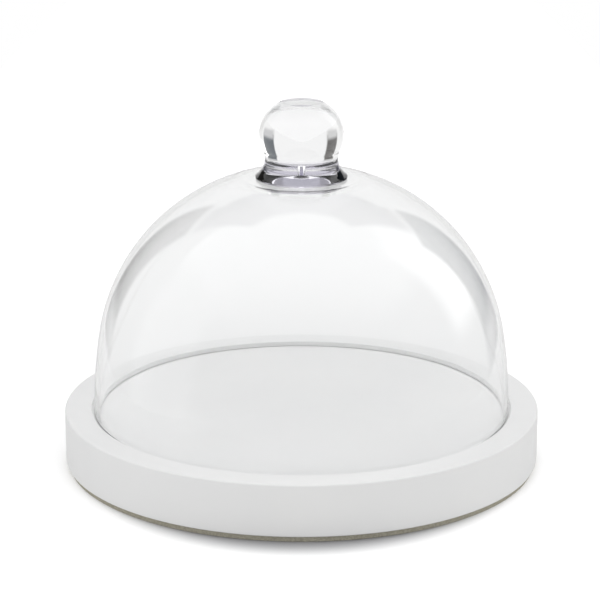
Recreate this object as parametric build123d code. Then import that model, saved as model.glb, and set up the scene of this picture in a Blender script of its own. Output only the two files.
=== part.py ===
"""A domed cake stand: a thick white serving plate on a non-slip pad, and a clear bell-shaped dome with a knob.

Millimetres, +Z up. The origin is the centre of the pad's underside, where the stand rests on a table.
Every piece is turned round the Z axis. The dome lifts straight off along +Z.
"""

from build123d import *
from math import asin, atan2, cos, hypot, pi, sin, sqrt
import os

# Driving dimensions ------------------------------------------------------------------------------

# The plate and the pad under it.
PLATE_RADIUS = 150.0
PLATE_THICKNESS = 32.5
PLATE_TOP_EDGE = 1.2  # rounding of the outer top edge
PLATE_FOOT_EDGE = 0.8  # rounding of the outer bottom edge
PAD_THICKNESS = 3.5
PAD_INSET = 2.0  # how far the pad stands in from the plate's side
PAD_EDGE = 0.4

# The shallow recess that keeps the dome central.
RECESS_RADIUS = 133.0
RECESS_DEPTH = 2.5
RECESS_LIP = 0.6  # rounding of the recess's upper edge

# The dome's outer outline: an almost upright skirt, a round shoulder and the edge of a flat seat for the knob,
# all tangent.
DOME_RADIUS = 131.4
DOME_WALL = 3.0
SEAT_ABOVE_PLATE = 147.2
SKIRT_ARC = 297.2
SHOULDER_ARC = 122.9
SEAT_EDGE_ARC = 30.0
SEAT_RADIUS = 35.0
RIM_ROUNDING = 1.2

# The knob: a flat-topped ball on a waist that flares out to a foot.
KNOB_TOP_ABOVE_PLATE = 194.8
BALL_RADIUS = 26.2
BALL_HALF_HEIGHT = 22.9
FACET_RADIUS = 13.2
FACET_EDGE = 0.5
WAIST_RADIUS = 22.8
WAIST_BELOW_BALL = 15.5  # from the ball's widest ring down to the waist
BALL_LOWER_ARC = 23.0  # the convex arc under the widest ring
FOOT_RADIUS = 28.6
FOOT_EDGE_HEIGHT = 1.0
FOOT_EDGE_ROUNDING = 0.4

# The clear locating pin that stands in the seat and reaches up into the knob, and the cement between them.
PIN_RADIUS = 1.5
PIN_IN_KNOB = 9.0
PIN_IN_SEAT = 1.5
PIN_CLEARANCE = 0.05
CEMENT_THICKNESS = 0.2
CEMENT_RADIUS = 27.8
CEMENT_HOLE_RADIUS = 2.2

# Heights worked out from these -------------------------------------------------------------------

PLATE_TOP = PAD_THICKNESS + PLATE_THICKNESS
RECESS_FLOOR = PLATE_TOP - RECESS_DEPTH
SEAT = PLATE_TOP + SEAT_ABOVE_PLATE
FOOT = SEAT + CEMENT_THICKNESS
KNOB_TOP = PLATE_TOP + KNOB_TOP_ABOVE_PLATE


# Outlines ----------------------------------------------------------------------------------------


def on_circle(centre, radius, angle):
    """The point at this angle, in radians from +X, on a circle in the outline plane."""
    return (centre[0] + radius * cos(angle), centre[1] + radius * sin(angle))


def arc(centre, radius, start, end):
    """An arc of a circle from one angle to another, in radians."""
    angles = (start, (start + end) / 2, end)
    return ThreePointArc(*(on_circle(centre, radius, angle) for angle in angles))


def turned(*edges):
    """The solid made by turning a closed outline, drawn as (radius, height), round the Z axis."""
    outline = Plane.XZ * make_face(Curve() + list(edges))
    return revolve(outline, Axis.Z, 360)


def ring_edges(solid, radius, height):
    """The circular edges of a turned solid at this radius and height."""
    return [
        edge
        for edge in solid.edges().filter_by(GeomType.CIRCLE)
        if abs(edge.radius - radius) < 1e-3 and abs(edge.arc_center.Z - height) < 1e-3
    ]


def dome_arcs():
    """Centres of the dome's skirt, shoulder and seat edge arcs, and the angles at which they meet.

    The skirt arc is upright at the plate's top, and the edge arc is level where the flat seat starts. The shoulder
    arc is tangent to both: it lies inside the skirt's circle, and the edge's circle lies inside it.
    """
    skirt = (DOME_RADIUS - SKIRT_ARC, PLATE_TOP)
    edge = (SEAT_RADIUS, SEAT - SEAT_EDGE_ARC)
    from_skirt = SKIRT_ARC - SHOULDER_ARC
    from_edge = SHOULDER_ARC - SEAT_EDGE_ARC
    apart = hypot(edge[0] - skirt[0], edge[1] - skirt[1])
    along = (from_skirt**2 - from_edge**2 + apart**2) / (2 * apart)
    across = sqrt(from_skirt**2 - along**2)
    ux, uz = (edge[0] - skirt[0]) / apart, (edge[1] - skirt[1]) / apart
    shoulder = (skirt[0] + along * ux + across * uz, skirt[1] + along * uz - across * ux)
    skirt_end = atan2(shoulder[1] - skirt[1], shoulder[0] - skirt[0])
    edge_start = atan2(edge[1] - shoulder[1], edge[0] - shoulder[0])
    return skirt, shoulder, edge, skirt_end, edge_start


# Pieces ------------------------------------------------------------------------------------------


def base_pad():
    """The thin non-slip pad that the plate stands on."""
    radius = PLATE_RADIUS - PAD_INSET
    pad = Cylinder(radius, PAD_THICKNESS, align=(Align.CENTER, Align.CENTER, Align.MIN))
    return fillet(ring_edges(pad, radius, 0.0) + ring_edges(pad, radius, PAD_THICKNESS), PAD_EDGE)


def base_plate():
    """The thick plate, with the dome's recess turned into its top."""
    on_pad = Pos(0, 0, PAD_THICKNESS)
    upwards = (Align.CENTER, Align.CENTER, Align.MIN)
    plate = on_pad * Cylinder(PLATE_RADIUS, PLATE_THICKNESS, align=upwards)
    plate -= Pos(0, 0, RECESS_FLOOR) * Cylinder(RECESS_RADIUS, PLATE_THICKNESS, align=upwards)
    plate = fillet(ring_edges(plate, PLATE_RADIUS, PLATE_TOP), PLATE_TOP_EDGE)
    plate = fillet(ring_edges(plate, PLATE_RADIUS, PAD_THICKNESS), PLATE_FOOT_EDGE)
    return fillet(ring_edges(plate, RECESS_RADIUS, PLATE_TOP), RECESS_LIP)


def dome_shell():
    """The clear dome: an even wall from its rounded rim, on the recess floor, up to the knob's flat seat."""
    skirt, shoulder, edge, skirt_end, edge_start = dome_arcs()
    inside = DOME_RADIUS - DOME_WALL
    ceiling = SEAT - DOME_WALL
    shell = turned(
        Line((inside, RECESS_FLOOR), (DOME_RADIUS, RECESS_FLOOR)),
        Line((DOME_RADIUS, RECESS_FLOOR), (DOME_RADIUS, PLATE_TOP)),
        arc(skirt, SKIRT_ARC, 0.0, skirt_end),
        arc(shoulder, SHOULDER_ARC, skirt_end, edge_start),
        arc(edge, SEAT_EDGE_ARC, edge_start, pi / 2),
        Line((SEAT_RADIUS, SEAT), (0.0, SEAT)),
        Line((0.0, SEAT), (0.0, ceiling)),
        Line((0.0, ceiling), (SEAT_RADIUS, ceiling)),
        arc(edge, SEAT_EDGE_ARC - DOME_WALL, pi / 2, edge_start),
        arc(shoulder, SHOULDER_ARC - DOME_WALL, edge_start, skirt_end),
        arc(skirt, SKIRT_ARC - DOME_WALL, skirt_end, 0.0),
        Line((inside, PLATE_TOP), (inside, RECESS_FLOOR)),
    )
    rim = ring_edges(shell, DOME_RADIUS, RECESS_FLOOR) + ring_edges(shell, inside, RECESS_FLOOR)
    shell = fillet(rim, RIM_ROUNDING)
    socket = Cylinder(PIN_RADIUS + PIN_CLEARANCE, 2 * PIN_IN_SEAT)
    return shell - Pos(0, 0, SEAT) * socket


def knob():
    """The solid clear knob, flat underneath where it stands on the seat, with a blind bore for its pin."""
    facet_angle = asin(sqrt(1 - (FACET_RADIUS / BALL_RADIUS) ** 2))
    ball_centre = (0.0, KNOB_TOP - BALL_HALF_HEIGHT * sin(facet_angle))
    waist = ball_centre[1] - WAIST_BELOW_BALL
    # Under the ball's widest ring, a convex arc turns into a concave one that is upright at the waist.
    step = BALL_RADIUS - WAIST_RADIUS
    waist_arc = (step**2 + WAIST_BELOW_BALL**2) / (2 * step) - BALL_LOWER_ARC
    lower = (BALL_RADIUS - BALL_LOWER_ARC, ball_centre[1])
    hollow = (WAIST_RADIUS + waist_arc, waist)
    turn = atan2(lower[1] - hollow[1], hollow[0] - lower[0])
    # Below the waist the flare runs out to the top of the foot's edge.
    foot_top = FOOT + FOOT_EDGE_HEIGHT
    spread = FOOT_RADIUS - WAIST_RADIUS
    flare_arc = (spread**2 + (waist - foot_top) ** 2) / (2 * spread)
    flare_end = asin((waist - foot_top) / flare_arc)
    flare = (WAIST_RADIUS + flare_arc, waist)
    bore = PIN_RADIUS + PIN_CLEARANCE
    bore_top = FOOT + PIN_IN_KNOB + PIN_CLEARANCE
    upper_ball = EllipticalCenterArc(
        ball_centre, BALL_RADIUS, BALL_HALF_HEIGHT, arc_size=facet_angle * 180 / pi
    )
    solid = turned(
        Line((0.0, bore_top), (0.0, KNOB_TOP)),
        Line((0.0, KNOB_TOP), upper_ball @ 1),
        upper_ball,
        arc(lower, BALL_LOWER_ARC, -turn, 0.0),
        arc(hollow, waist_arc, pi - turn, pi),
        arc(flare, flare_arc, pi, pi + flare_end),
        Line((FOOT_RADIUS, foot_top), (FOOT_RADIUS, FOOT)),
        Line((FOOT_RADIUS, FOOT), (bore, FOOT)),
        Line((bore, FOOT), (bore, bore_top)),
        Line((bore, bore_top), (0.0, bore_top)),
    )
    solid = fillet(ring_edges(solid, FACET_RADIUS, KNOB_TOP), FACET_EDGE)
    return fillet(ring_edges(solid, FOOT_RADIUS, FOOT), FOOT_EDGE_ROUNDING)


def knob_cement():
    """The film of clear cement between the seat and the knob's foot."""
    upwards = (Align.CENTER, Align.CENTER, Align.MIN)
    film = Pos(0, 0, SEAT) * Cylinder(CEMENT_RADIUS, CEMENT_THICKNESS, align=upwards)
    return film - Pos(0, 0, SEAT) * Cylinder(CEMENT_HOLE_RADIUS, 2 * CEMENT_THICKNESS)


def knob_pin():
    """The clear dowel that centres the knob on its seat."""
    length = PIN_IN_SEAT + CEMENT_THICKNESS + PIN_IN_KNOB
    upwards = (Align.CENTER, Align.CENTER, Align.MIN)
    pin = Pos(0, 0, SEAT - PIN_IN_SEAT) * Cylinder(PIN_RADIUS, length, align=upwards)
    top = SEAT - PIN_IN_SEAT + length
    return fillet(ring_edges(pin, PIN_RADIUS, top), PIN_RADIUS / 2)


os.makedirs("parts", exist_ok=True)
for piece in (base_pad, base_plate, dome_shell, knob, knob_cement, knob_pin):
    export_step(piece(), f"parts/{piece.__name__}.step")
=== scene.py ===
"""Looks for the domed cake stand: a thick white plate on a thin pad, under a clear dome with a ball knob.

Everything is in metres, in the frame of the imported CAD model: +Z is up, and Z = 0 is the pad's underside.
"""

from math import asin, atan2, ceil, cos, hypot, pi, radians, sin, sqrt

import bmesh
import bpy
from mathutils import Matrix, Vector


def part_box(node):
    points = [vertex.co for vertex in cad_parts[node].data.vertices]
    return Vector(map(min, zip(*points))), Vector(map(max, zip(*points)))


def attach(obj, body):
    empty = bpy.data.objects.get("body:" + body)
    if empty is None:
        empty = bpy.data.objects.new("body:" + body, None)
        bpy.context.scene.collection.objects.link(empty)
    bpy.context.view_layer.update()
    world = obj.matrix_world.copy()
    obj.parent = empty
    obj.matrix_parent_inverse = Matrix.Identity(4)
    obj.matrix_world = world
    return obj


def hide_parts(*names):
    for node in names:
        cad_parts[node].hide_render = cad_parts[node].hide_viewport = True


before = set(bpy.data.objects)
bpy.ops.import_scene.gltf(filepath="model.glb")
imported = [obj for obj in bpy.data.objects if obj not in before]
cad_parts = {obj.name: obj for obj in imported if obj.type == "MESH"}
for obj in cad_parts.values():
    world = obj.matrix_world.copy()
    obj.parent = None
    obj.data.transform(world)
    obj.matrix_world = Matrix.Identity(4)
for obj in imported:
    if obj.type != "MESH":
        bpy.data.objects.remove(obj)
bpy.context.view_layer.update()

MM = 0.001

# Sizes taken from the frame ----------------------------------------------------------------------

PLATE_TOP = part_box("base_plate")[1].z
PLATE_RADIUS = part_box("base_plate")[1].x
RECESS_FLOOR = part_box("dome_shell")[0].z
DOME_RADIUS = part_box("dome_shell")[1].x
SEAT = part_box("dome_shell")[1].z
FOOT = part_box("knob")[0].z
FOOT_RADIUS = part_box("knob")[1].x
KNOB_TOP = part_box("knob")[1].z

# Outlines of the clear pieces --------------------------------------------------------------------

# The dome's outline, as in the CAD model: skirt, shoulder and seat edge arcs, all tangent, up to the flat
# seat that the knob stands on.
DOME_WALL = 3.0 * MM
SKIRT_ARC = 297.2 * MM
SHOULDER_ARC = 122.9 * MM
SEAT_EDGE_ARC = 30.0 * MM
SEAT_RADIUS = 35.0 * MM
RIM_ROUNDING = 1.2 * MM
PIN_SOCKET_DEPTH = 1.5 * MM

# The knob's outline: a flat-topped ball on a waist that flares out to a foot, with a bore for the pin.
BALL_RADIUS = 26.2 * MM
BALL_HALF_HEIGHT = 22.9 * MM
FACET_RADIUS = 13.2 * MM
FACET_EDGE = 0.5 * MM
WAIST_RADIUS = 22.8 * MM
WAIST_BELOW_BALL = 15.5 * MM
BALL_LOWER_ARC = 23.0 * MM
FOOT_EDGE_HEIGHT = 1.0 * MM
FOOT_EDGE_ROUNDING = 0.4 * MM
BORE_RADIUS = 1.55 * MM
BORE_HEIGHT = 9.05 * MM

# The film of cement, and the hair's breadth between it and the pieces that it joins.
CEMENT_RADIUS = 27.8 * MM
CEMENT_HOLE_RADIUS = 2.2 * MM
CEMENT_GAP = 0.02 * MM

# How finely these pieces are turned, and how near two points, or a point and the axis, count as one.
TURN_STEPS = 240
ARC_STEP = radians(1.2)
LEAST_ARC_STEPS = 4
SAME_POINT = 0.002 * MM
ON_AXIS = 0.001 * MM

# Materials ---------------------------------------------------------------------------------------

WHITE = (1.0, 1.0, 1.0)

# Paint on the plate: two whites that come and go, patches of sheen, orange peel and wood grain.
PAINT_COLOURS = ((0.735, 0.737, 0.74), (0.765, 0.765, 0.76))
PAINT_ROUGHNESS = (0.48, 0.62)
PAINT_SPECULAR = 0.35
PAINT_MOTTLE_SIZE = 45 * MM
PAINT_SHEEN_SIZE = 12 * MM
PAINT_PEEL_SIZE = 1.1 * MM
PAINT_GRAIN_SIZE = 1.6 * MM
PAINT_GRAIN_STRETCH = (30, 1, 1)
PAINT_RELIEF = 0.025 * MM

# Foamed rubber of the pad: dark specks and light ones.
PAD_COLOURS = ((0.33, 0.31, 0.245), (0.46, 0.435, 0.35))
PAD_ROUGHNESS = (0.75, 0.92)
PAD_SPECK_SIZE = 0.9 * MM
PAD_SPECK_EDGES = (0.35, 0.65)
PAD_WEAR_SIZE = 4 * MM
PAD_RELIEF = 0.12 * MM

# The middle part of a noise's range, where most of it lies.
NOISE_MIDDLE = (0.3, 0.7)

# Clear materials: a tint, then the size and the depth of the surface's waviness.
CLEAR_IOR = 1.49
CLEAR_TINT_SIZE = 30 * MM
DOME_CLEAR = ((0.985, 0.99, 0.99), 50 * MM, 0.01 * MM)
KNOB_CLEAR = ((0.985, 0.987, 0.99), 20 * MM, 0.004 * MM)
PIN_CLEAR = ((0.66, 0.65, 0.74), 4 * MM, 0.002 * MM)
CEMENT_CLEAR = ((0.90, 0.89, 0.93), 3 * MM, 0.004 * MM)

# A painted reflection on the knob's foot: a lilac-grey tint, darker than the glass, that stands in for the
# lilac-grey studio seen through it, and the heights above the foot between which it fades out.
FOOT_PAINTED_REFLECTION = (0.53, 0.51, 0.61)
FOOT_PAINTED_REFLECTION_FULL = 4.0 * MM
FOOT_PAINTED_REFLECTION_GONE = 13.0 * MM

# Camera, table and studio ------------------------------------------------------------------------

# In front of the stand and a little above it: a long lens that looks down on the plate.
CAMERA_DISTANCE = 1.500
CAMERA_ABOVE_PLATE = 0.506
CAMERA_SIDESTEP = -0.0009
CAMERA_PITCH = radians(16.28)
CAMERA_LENS_MM = 148.95
SENSOR_MM = 36.0

# The white table, an oval, with a painted shadow of the plate close to its foot and painted shade that
# darkens it near the stand.
TABLE_HALF_SIZE = (0.38, 3.0)
TABLE_CORNERS = 192
TABLE_COLOUR = (0.88, 0.88, 0.88)
TABLE_NEAR_SHADE_COLOUR = (0.80, 0.80, 0.80)
TABLE_NEAR_RADIUS = 0.60
TABLE_ROUGHNESS = 0.9
TABLE_LIFT = 0.27
SHADE_COLOUR = (0.36, 0.36, 0.37)
SHADE_WIDTH = 0.027
SHADE_SIDEWAYS = 1.2

# The studio round it. Azimuth runs from +Y towards +X and elevation up from the horizon, in degrees. Each
# patch has a centre, a size, the width of its soft edge and a colour, and lies over those before it.
WALLS = (0.90, 0.90, 0.895)
STUDIO = (
    ("ceiling behind", (0, 50), (92, 28), 6, (0.36, 0.355, 0.38)),
    ("ceiling over the panel", (0, 50), (40, 28), 8, (0.56, 0.56, 0.60)),
    ("back panel", (0, 9), (57, 60), 3, (0.91, 0.91, 0.91)),
    ("left light", (-95, 10), (44, 60), 12, (1.2, 1.2, 1.2)),
    ("right window", (63, 30), (32, 46), 12, (1.9, 1.9, 1.9)),
    ("left flag", (-36, 12), (19, 42), 3, (0.10, 0.095, 0.09)),
    ("right flag", (41, 12), (23, 42), 2, (0.085, 0.10, 0.115)),
    ("left flag's foot", (-36, -9), (19, 10), 6, (0.62, 0.62, 0.62)),
    ("right flag's foot", (41, -9), (23, 10), 6, (0.56, 0.56, 0.57)),
)

# The softbox overhead, as a rectangle on a ceiling one unit up: its far edge, behind the stand, is crisp,
# its sides are soft, and it fades slowly towards the camera.
SOFTBOX_COLOUR = (1.38, 1.38, 1.38)
SOFTBOX_FAR_EDGE = 0.577
SOFTBOX_FAR_BLUR = 0.03
SOFTBOX_NEAR_FADE = (-0.1, -1.5)
SOFTBOX_HALF_WIDTH = 1.3
SOFTBOX_SIDE_BLUR = 0.4

# The least upward part of a direction that the ceiling is worked out for.
LEAST_RISE = 0.001


def make_camera():
    data = bpy.data.cameras.new("camera")
    data.lens = CAMERA_LENS_MM
    data.sensor_width = SENSOR_MM
    camera = bpy.data.objects.new("camera", data)
    camera.location = (CAMERA_SIDESTEP, -CAMERA_DISTANCE, PLATE_TOP + CAMERA_ABOVE_PLATE)
    camera.rotation_euler = (pi / 2 - CAMERA_PITCH, 0, 0)
    bpy.context.scene.collection.objects.link(camera)
    bpy.context.scene.camera = camera


# Turned pieces -----------------------------------------------------------------------------------


def arc(centre, radius, start, end, height_radius=None):
    """Points (radius, height) along a circle's or an ellipse's arc, from one angle to another."""
    steps = max(LEAST_ARC_STEPS, ceil(abs(end - start) / ARC_STEP))
    angles = [start + (end - start) * i / steps for i in range(steps + 1)]
    tall = height_radius or radius
    return [(centre[0] + radius * cos(a), centre[1] + tall * sin(a)) for a in angles]


def without_repeats(outline):
    """The outline's points, less those that lie on the point before."""
    points = [outline[0]]
    for point in outline[1:]:
        if hypot(point[0] - points[-1][0], point[1] - points[-1][1]) > SAME_POINT:
            points.append(point)
    return points


def turned_mesh(outline):
    """A closed bmesh made by turning an outline round the Z axis.

    The outline starts and ends on the axis, or is a loop that is clear of it.
    """
    mesh = bmesh.new()
    angles = [2 * pi * i / TURN_STEPS for i in range(TURN_STEPS)]
    rings = []
    for radius, height in without_repeats(outline):
        if radius < ON_AXIS:
            rings.append([mesh.verts.new((0, 0, height))] * TURN_STEPS)
        else:
            rings.append([mesh.verts.new((radius * cos(a), radius * sin(a), height)) for a in angles])
    on_axis = rings[0][0] is rings[0][1]
    closing = [] if on_axis else [(rings[-1], rings[0])]
    for lower, upper in [*zip(rings, rings[1:]), *closing]:
        for i in range(TURN_STEPS):
            j = (i + 1) % TURN_STEPS
            corners = list(dict.fromkeys((lower[i], lower[j], upper[j], upper[i])))
            mesh.faces.new(corners).smooth = True
    bmesh.ops.recalc_face_normals(mesh, faces=mesh.faces)
    return mesh


def turned(name, outline, node, material):
    """A turned piece that rides with the dome and stands for one of its CAD nodes."""
    mesh = turned_mesh(outline)
    data = bpy.data.meshes.new(name)
    mesh.to_mesh(data)
    mesh.free()
    data.materials.append(material)
    piece = bpy.data.objects.new(name, data)
    bpy.context.scene.collection.objects.link(piece)
    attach(piece, "dome")
    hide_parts(node)


def dome_arcs():
    """Centres of the dome's skirt, shoulder and seat edge arcs, and the angles at which they meet."""
    skirt = (DOME_RADIUS - SKIRT_ARC, PLATE_TOP)
    edge = (SEAT_RADIUS, SEAT - SEAT_EDGE_ARC)
    from_skirt = SKIRT_ARC - SHOULDER_ARC
    from_edge = SHOULDER_ARC - SEAT_EDGE_ARC
    apart = hypot(edge[0] - skirt[0], edge[1] - skirt[1])
    along = (from_skirt**2 - from_edge**2 + apart**2) / (2 * apart)
    across = sqrt(from_skirt**2 - along**2)
    ux, uz = (edge[0] - skirt[0]) / apart, (edge[1] - skirt[1]) / apart
    shoulder = (skirt[0] + along * ux + across * uz, skirt[1] + along * uz - across * ux)
    skirt_end = atan2(shoulder[1] - skirt[1], shoulder[0] - skirt[0])
    edge_start = atan2(edge[1] - shoulder[1], edge[0] - shoulder[0])
    return skirt, shoulder, edge, skirt_end, edge_start


def dome_outline():
    """Down the inside from the axis, round the rim, up the outside and into the pin's socket."""
    skirt, shoulder, edge, skirt_end, edge_start = dome_arcs()
    inside = DOME_RADIUS - DOME_WALL
    rim_height = RECESS_FLOOR + RIM_ROUNDING
    socket = SEAT - PIN_SOCKET_DEPTH
    return [
        (0.0, SEAT - DOME_WALL),
        *arc(edge, SEAT_EDGE_ARC - DOME_WALL, pi / 2, edge_start),
        *arc(shoulder, SHOULDER_ARC - DOME_WALL, edge_start, skirt_end),
        *arc(skirt, SKIRT_ARC - DOME_WALL, skirt_end, 0.0),
        *arc((inside + RIM_ROUNDING, rim_height), RIM_ROUNDING, pi, 1.5 * pi),
        *arc((DOME_RADIUS - RIM_ROUNDING, rim_height), RIM_ROUNDING, -pi / 2, 0.0),
        *arc(skirt, SKIRT_ARC, 0.0, skirt_end),
        *arc(shoulder, SHOULDER_ARC, skirt_end, edge_start),
        *arc(edge, SEAT_EDGE_ARC, edge_start, pi / 2),
        (CEMENT_RADIUS, SEAT),
        (BORE_RADIUS, SEAT),
        (BORE_RADIUS, socket),
        (0.0, socket),
    ]


def knob_outline():
    """From the middle of the facet down the outside, and back under the foot into the bore."""
    facet_angle = asin(sqrt(1 - (FACET_RADIUS / BALL_RADIUS) ** 2))
    edge_angle = FACET_EDGE / BALL_RADIUS
    ball = (0.0, KNOB_TOP - BALL_HALF_HEIGHT * sin(facet_angle))
    # Under the ball's widest ring, a convex arc turns into a concave one that is upright at the waist.
    waist = ball[1] - WAIST_BELOW_BALL
    step = BALL_RADIUS - WAIST_RADIUS
    waist_arc = (step**2 + WAIST_BELOW_BALL**2) / (2 * step) - BALL_LOWER_ARC
    lower = (BALL_RADIUS - BALL_LOWER_ARC, ball[1])
    hollow = (WAIST_RADIUS + waist_arc, waist)
    turn = atan2(lower[1] - hollow[1], hollow[0] - lower[0])
    # Below the waist the flare runs out to the top of the foot's edge.
    foot_top = FOOT + FOOT_EDGE_HEIGHT
    spread = FOOT_RADIUS - WAIST_RADIUS
    flare_arc = (spread**2 + (waist - foot_top) ** 2) / (2 * spread)
    flare_end = asin((waist - foot_top) / flare_arc)
    flare = (WAIST_RADIUS + flare_arc, waist)
    foot_edge = (FOOT_RADIUS - FOOT_EDGE_ROUNDING, FOOT + FOOT_EDGE_ROUNDING)
    bore_top = FOOT + BORE_HEIGHT
    return [
        (0.0, KNOB_TOP),
        (FACET_RADIUS - FACET_EDGE, KNOB_TOP),
        *arc(ball, BALL_RADIUS, facet_angle - edge_angle, 0.0, BALL_HALF_HEIGHT),
        *arc(lower, BALL_LOWER_ARC, 0.0, -turn),
        *arc(hollow, waist_arc, pi - turn, pi),
        *arc(flare, flare_arc, pi, pi + flare_end),
        *arc(foot_edge, FOOT_EDGE_ROUNDING, 0.0, -pi / 2),
        (CEMENT_RADIUS, FOOT),
        (BORE_RADIUS, FOOT),
        (BORE_RADIUS, bore_top),
        (0.0, bore_top),
    ]


def cement_outline():
    """The film of cement, a hair thinner than the joint, so that no two clear faces lie in one place."""
    low, high = SEAT + CEMENT_GAP, FOOT - CEMENT_GAP
    inside, outside = CEMENT_HOLE_RADIUS, CEMENT_RADIUS
    return [(inside, low), (outside, low), (outside, high), (inside, high)]


# Shader nodes ------------------------------------------------------------------------------------


def put(tree, socket, value):
    """Sets an input from another node's socket, a number or a colour."""
    if isinstance(value, bpy.types.NodeSocket):
        tree.links.new(value, socket)
    elif isinstance(value, tuple):
        socket.default_value = (*value, 1)
    else:
        socket.default_value = value


def math_node(tree, operation, *inputs):
    """The output of a Math node that has these sockets or numbers as its inputs."""
    node = tree.nodes.new("ShaderNodeMath")
    node.operation = operation
    for socket, value in zip(node.inputs, inputs):
        put(tree, socket, value)
    return node.outputs[0]


def ramp(tree, value, start, end, low=0.0, high=1.0):
    """A smooth step from low, where the value is at start, to high, where it is at end."""
    node = tree.nodes.new("ShaderNodeMapRange")
    node.interpolation_type = "SMOOTHSTEP"
    put(tree, node.inputs["Value"], value)
    put(tree, node.inputs["From Min"], start)
    put(tree, node.inputs["From Max"], end)
    put(tree, node.inputs["To Min"], low)
    put(tree, node.inputs["To Max"], high)
    return node.outputs["Result"]


def blend_colours(tree, factor, first, second, label=""):
    """The first colour where the factor is 0 and the second where it is 1."""
    node = tree.nodes.new("ShaderNodeMix")
    node.data_type = "RGBA"
    node.label = label
    # A Mix node has inputs for numbers and vectors too; these are its factor and its two colours.
    factor_input, colour_a, colour_b = (node.inputs[i] for i in (0, 6, 7))
    put(tree, factor_input, factor)
    put(tree, colour_a, first)
    put(tree, colour_b, second)
    return node.outputs[2]


def place_in_object(tree):
    """The place in the object's own frame."""
    return tree.nodes.new("ShaderNodeTexCoord").outputs["Object"]


def components(tree, vector):
    """The X, Y and Z of a vector."""
    node = tree.nodes.new("ShaderNodeSeparateXYZ")
    tree.links.new(vector, node.inputs[0])
    return node.outputs


def length_of(tree, vector):
    node = tree.nodes.new("ShaderNodeVectorMath")
    node.operation = "LENGTH"
    tree.links.new(vector, node.inputs[0])
    return node.outputs["Value"]


def stretched(tree, vector, factors):
    """A vector with each of its components multiplied by a factor."""
    node = tree.nodes.new("ShaderNodeVectorMath")
    node.operation = "MULTIPLY"
    tree.links.new(vector, node.inputs[0])
    node.inputs[1].default_value = factors
    return node.outputs[0]


def seen_by_camera(tree):
    """1 where the camera looks straight at the surface, and 0 where a reflection or the light does."""
    return tree.nodes.new("ShaderNodeLightPath").outputs["Is Camera Ray"]


def noise(tree, size, detail=2.0, stretch=(1, 1, 1)):
    """Noise with features of this size in metres, drawn out along each axis by its stretch."""
    mapping = tree.nodes.new("ShaderNodeMapping")
    tree.links.new(place_in_object(tree), mapping.inputs["Vector"])
    mapping.inputs["Scale"].default_value = [1 / (size * s) for s in stretch]
    texture = tree.nodes.new("ShaderNodeTexNoise")
    tree.links.new(mapping.outputs["Vector"], texture.inputs["Vector"])
    texture.inputs["Scale"].default_value = 1.0
    texture.inputs["Detail"].default_value = detail
    return texture.outputs[0]


def bumped(tree, bsdf, height, depth):
    """Gives the shader a relief this deep, in metres, from a height that runs from 0 to 1."""
    node = tree.nodes.new("ShaderNodeBump")
    put(tree, node.inputs["Height"], height)
    node.inputs["Distance"].default_value = depth
    tree.links.new(node.outputs["Normal"], bsdf.inputs["Normal"])


def principled(name):
    """A new material, its node tree and its shader."""
    material = bpy.data.materials.new(name)
    material.use_nodes = True
    tree = material.node_tree
    return material, tree, tree.nodes["Principled BSDF"]


# Studio ------------------------------------------------------------------------------------------


def within(tree, angle, centre, half_width, softness):
    """1 where an angle, in degrees, is within half a width of a centre, and 0 outside, with a soft edge."""
    away = math_node(tree, "SUBTRACT", angle, float(centre))
    away = math_node(tree, "ABSOLUTE", math_node(tree, "WRAP", away, -180.0, 180.0))
    return ramp(tree, away, half_width + softness / 2, half_width - softness / 2)


def below(tree, value, edge, blur):
    """1 where a value is below an edge, and 0 above it, with a soft edge."""
    return ramp(tree, value, edge + blur, edge - blur)


def softbox(tree, x, y, z):
    """How much of the overhead softbox lies in a direction."""
    up = math_node(tree, "MAXIMUM", z, LEAST_RISE)
    across = math_node(tree, "ABSOLUTE", math_node(tree, "DIVIDE", x, up))
    along = math_node(tree, "DIVIDE", y, up)
    sides = below(tree, across, SOFTBOX_HALF_WIDTH, SOFTBOX_SIDE_BLUR)
    far_edge = below(tree, along, SOFTBOX_FAR_EDGE, SOFTBOX_FAR_BLUR)
    near_start, near_end = SOFTBOX_NEAR_FADE
    near_edge = ramp(tree, along, near_end, near_start)
    return math_node(tree, "MULTIPLY", math_node(tree, "MULTIPLY", sides, far_edge), near_edge)


def make_world():
    """A white studio: what the glass reflects and refracts. The camera itself sees plain white behind."""
    world = bpy.data.worlds.new("studio")
    bpy.context.scene.world = world
    world.use_nodes = True
    tree = world.node_tree
    direction = tree.nodes.new("ShaderNodeTexCoord").outputs["Generated"]
    x, y, z = components(tree, direction)
    degrees = 180 / pi
    azimuth = math_node(tree, "MULTIPLY", math_node(tree, "ARCTAN2", x, y), degrees)
    elevation = math_node(tree, "MULTIPLY", math_node(tree, "ARCSINE", z), degrees)
    colour = blend_colours(tree, softbox(tree, x, y, z), WALLS, SOFTBOX_COLOUR, "overhead softbox")
    for name, centre, size, softness, patch_colour in STUDIO:
        across = within(tree, azimuth, centre[0], size[0] / 2, softness)
        upright = within(tree, elevation, centre[1], size[1] / 2, softness)
        inside = math_node(tree, "MULTIPLY", across, upright)
        colour = blend_colours(tree, inside, colour, patch_colour, name)
    seen = blend_colours(tree, seen_by_camera(tree), colour, WHITE)
    put(tree, tree.nodes["Background"].inputs["Color"], seen)


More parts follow.
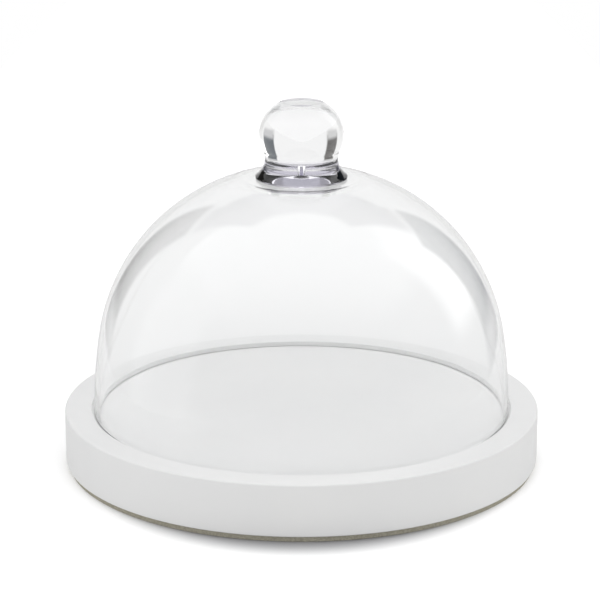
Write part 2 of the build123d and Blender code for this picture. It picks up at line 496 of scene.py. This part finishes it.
def table_material():
    """White, with a painted shadow at the plate's foot and painted shade near the stand, and lifted where
    the camera sees it, to run into the backdrop.
    """
    material, tree, bsdf = principled("table")
    place = place_in_object(tree)
    oval = length_of(tree, stretched(tree, place, (SHADE_SIDEWAYS, 1, 1)))
    # Painted shadow: the table's colour turns to the shade colour in an oval round the plate's foot.
    clear_of_foot = ramp(tree, oval, PLATE_RADIUS, PLATE_RADIUS + SHADE_WIDTH)
    # Painted shade: the table is darker near the stand and fades to plain white by the near radius.
    far = ramp(tree, length_of(tree, place), PLATE_RADIUS, TABLE_NEAR_RADIUS)
    white = blend_colours(tree, far, TABLE_NEAR_SHADE_COLOUR, TABLE_COLOUR)
    shaded = blend_colours(tree, clear_of_foot, SHADE_COLOUR, white)
    put(tree, bsdf.inputs["Base Color"], shaded)
    bsdf.inputs["Roughness"].default_value = TABLE_ROUGHNESS
    bsdf.inputs["Specular IOR Level"].default_value = 0.0
    bsdf.inputs["Emission Color"].default_value = (*WHITE, 1)
    lift = math_node(tree, "MULTIPLY", clear_of_foot, TABLE_LIFT)
    seen_lift = math_node(tree, "MULTIPLY", seen_by_camera(tree), lift)
    put(tree, bsdf.inputs["Emission Strength"], seen_lift)
    return material


def make_table():
    bpy.ops.mesh.primitive_circle_add(vertices=TABLE_CORNERS, radius=1.0, fill_type="NGON")
    table = bpy.context.object
    table.name = "table"
    table.scale = (*TABLE_HALF_SIZE, 1)
    bpy.ops.object.transform_apply(scale=True)
    table.data.materials.append(table_material())


# Materials ---------------------------------------------------------------------------------------


def white_paint():
    """Sprayed satin paint over turned wood: a fine orange peel, and the grain just telling through."""
    material, tree, bsdf = principled("white_paint")
    mottle = noise(tree, PAINT_MOTTLE_SIZE, detail=3.0)
    put(tree, bsdf.inputs["Base Color"], blend_colours(tree, mottle, *PAINT_COLOURS))
    sheen = noise(tree, PAINT_SHEEN_SIZE)
    put(tree, bsdf.inputs["Roughness"], ramp(tree, sheen, *NOISE_MIDDLE, *PAINT_ROUGHNESS))
    bsdf.inputs["Specular IOR Level"].default_value = PAINT_SPECULAR
    # The relief is half orange peel and half grain.
    peel = math_node(tree, "MULTIPLY", noise(tree, PAINT_PEEL_SIZE), 0.5)
    grain = noise(tree, PAINT_GRAIN_SIZE, detail=3.0, stretch=PAINT_GRAIN_STRETCH)
    grain = math_node(tree, "MULTIPLY", grain, 0.5)
    bumped(tree, bsdf, math_node(tree, "ADD", peel, grain), PAINT_RELIEF)
    return material


def tan_pad():
    """Foamed rubber with fine light and dark specks."""
    material, tree, bsdf = principled("tan_pad")
    specks = ramp(tree, noise(tree, PAD_SPECK_SIZE, detail=4.0), *PAD_SPECK_EDGES)
    put(tree, bsdf.inputs["Base Color"], blend_colours(tree, specks, *PAD_COLOURS))
    wear = noise(tree, PAD_WEAR_SIZE)
    put(tree, bsdf.inputs["Roughness"], ramp(tree, wear, *NOISE_MIDDLE, *PAD_ROUGHNESS))
    bumped(tree, bsdf, specks, PAD_RELIEF)
    return material


def clear(name, tint, wave_size, wave_depth, painted_reflection_tint=None):
    """Clear moulded material: a trace of tint that comes and goes, and a very slightly wavy surface.

    A painted reflection is a second, lilac-grey tint that stands in for the studio seen through the knob's
    foot; it is full at the foot and gone above the waist.
    """
    material, tree, bsdf = principled(name)
    colour = blend_colours(tree, noise(tree, CLEAR_TINT_SIZE), tint, WHITE)
    if painted_reflection_tint:
        # Painted reflection: the foot's lilac-grey tint, fading out with height above the foot.
        height = components(tree, place_in_object(tree))[2]
        above_foot = ramp(tree, height, FOOT + FOOT_PAINTED_REFLECTION_FULL, FOOT + FOOT_PAINTED_REFLECTION_GONE)
        colour = blend_colours(tree, above_foot, painted_reflection_tint, colour)
    put(tree, bsdf.inputs["Base Color"], colour)
    bsdf.inputs["Roughness"].default_value = 0.0
    bsdf.inputs["IOR"].default_value = CLEAR_IOR
    bsdf.inputs["Transmission Weight"].default_value = 1.0
    bumped(tree, bsdf, noise(tree, wave_size, detail=1.0), wave_depth)
    return material


def finish_node(node, material):
    """Puts a material on a CAD node that keeps its own shape."""
    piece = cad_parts[node]
    if not piece.material_slots:
        piece.data.materials.append(material)
    for slot in piece.material_slots:
        slot.material = material


make_camera()
make_table()
make_world()
finish_node("base_plate", white_paint())
finish_node("base_pad", tan_pad())
finish_node("knob_pin", clear("pin", *PIN_CLEAR))
turned("dome_glass", dome_outline(), "dome_shell", clear("dome_glass", *DOME_CLEAR))
turned("knob_glass", knob_outline(), "knob", clear("knob_glass", *KNOB_CLEAR, FOOT_PAINTED_REFLECTION))
turned("cement_film", cement_outline(), "knob_cement", clear("cement", *CEMENT_CLEAR))

# The true colours of the render, and glass that lets the studio's light through to the plate.
bpy.context.scene.view_settings.view_transform = "Standard"
bpy.context.scene.cycles.blur_glossy = 0.0
